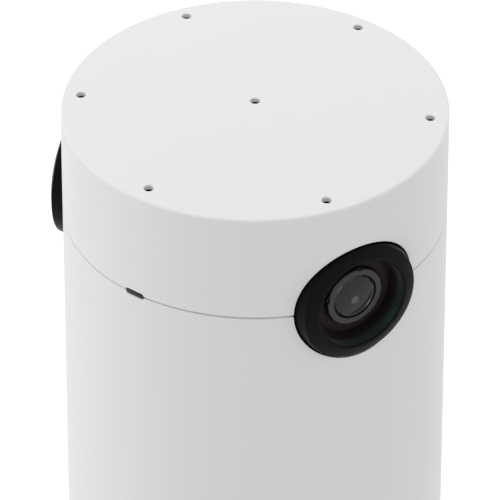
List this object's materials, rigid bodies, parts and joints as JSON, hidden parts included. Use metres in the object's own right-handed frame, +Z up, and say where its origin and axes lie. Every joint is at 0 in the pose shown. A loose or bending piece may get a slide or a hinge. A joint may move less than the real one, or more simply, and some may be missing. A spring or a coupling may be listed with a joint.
{
  "type": "conference camera",
  "caption": "Table-top conference camera: a white tower with side lenses, microphone holes in its top, an indicator on the seam and a twist-off weighted foot over the sockets.",
  "frame": {"origin": "middle of the round underside, on the table, on the tower's axis", "axes": "+Z up along the tower, the indicator faces -Y, the cables leave at +Y"},
  "size_m": [0.088, 0.083, 0.33],
  "materials": {
    "shell_plastic": "fine moulded satin",
    "frame_plastic": "fine moulded matt",
    "pad_rubber": "matt silicone",
    "ballast_steel": "zinc plated",
    "screw_steel": "zinc plated",
    "insert_brass": "turned",
    "frame_aluminium": "die cast",
    "circuit_board": "solder mask",
    "chip_black": "moulded epoxy",
    "can_steel": "tin plated",
    "gasket_rubber": "closed-cell foam",
    "mesh_grey": "woven acoustic mesh",
    "window_smoke": "smoked clear",
    "led_white": "moulded nylon",
    "thermal_rubber": "filled silicone",
    "button_grey": "fine moulded",
    "lead_black": "cable sheath",
    "bezel_black": "satin black",
    "baffle_black": "matt flocked black",
    "lens_metal": "black anodised",
    "lens_glass": "coated, polished"
  },
  "bodies": {
    "tower": {"head_shell": "shell_plastic", "body_sleeve": "shell_plastic", "base_frame": "frame_plastic", "head_screws": "screw_steel", "mic_screws": "screw_steel", "frame_screws": "screw_steel", "board_screws": "screw_steel", "camera_screws": "screw_steel", "head_frame": "frame_aluminium", "core_chassis": "frame_aluminium", "mic_board": "circuit_board", "indicator_board": "circuit_board", "main_board": "circuit_board", "power_board": "circuit_board", "port_board": "circuit_board", "camera_board_right": "circuit_board", "camera_board_left": "circuit_board", "processor": "chip_black", "memory_chips": "chip_black", "reset_switch": "chip_black", "transformer": "chip_black", "image_sensor_right": "chip_black", "image_sensor_left": "chip_black", "microphones": "can_steel", "shield_can": "can_steel", "network_jack": "can_steel", "usb_socket": "can_steel", "lock_plate": "can_steel", "capacitors": "can_steel", "mic_gaskets": "gasket_rubber", "lens_seal_right": "gasket_rubber", "lens_seal_left": "gasket_rubber", "mic_meshes": "mesh_grey", "indicator_window": "window_smoke", "indicator_led": "led_white", "wire_connectors": "led_white", "thermal_pad": "thermal_rubber", "camera_leads": "lead_black", "inner_leads": "lead_black", "lens_bezel_right": "bezel_black", "lens_bezel_left": "bezel_black", "lens_baffle_right": "baffle_black", "lens_baffle_left": "baffle_black", "lens_holder_right": "baffle_black", "lens_holder_left": "baffle_black", "lens_barrel_right": "lens_metal", "lens_barrel_left": "lens_metal", "front_glass_right": "lens_glass", "front_glass_left": "lens_glass", "rear_glass_right": "lens_glass", "rear_glass_left": "lens_glass"},
    "foot": {"foot": "frame_plastic", "foot_pad": "pad_rubber", "ballast_ring": "ballast_steel", "ballast_screws": "screw_steel", "tripod_insert": "insert_brass", "mount_inserts": "insert_brass"},
    "reset_button": {"reset_button": "button_grey"}
  },
  "joints": [
    {"name": "foot_twist", "type": "hinge", "parent": "tower", "child": "foot", "pos_m": [0, 0, 0], "axis": [0, 0, 1], "range_deg": [0, 30]},
    {"name": "reset_press", "type": "slide", "parent": "tower", "child": "reset_button", "axis": [0, 0, 1], "range_m": [0, 0.0005], "stiffness_N_per_m": 800}
  ]
}
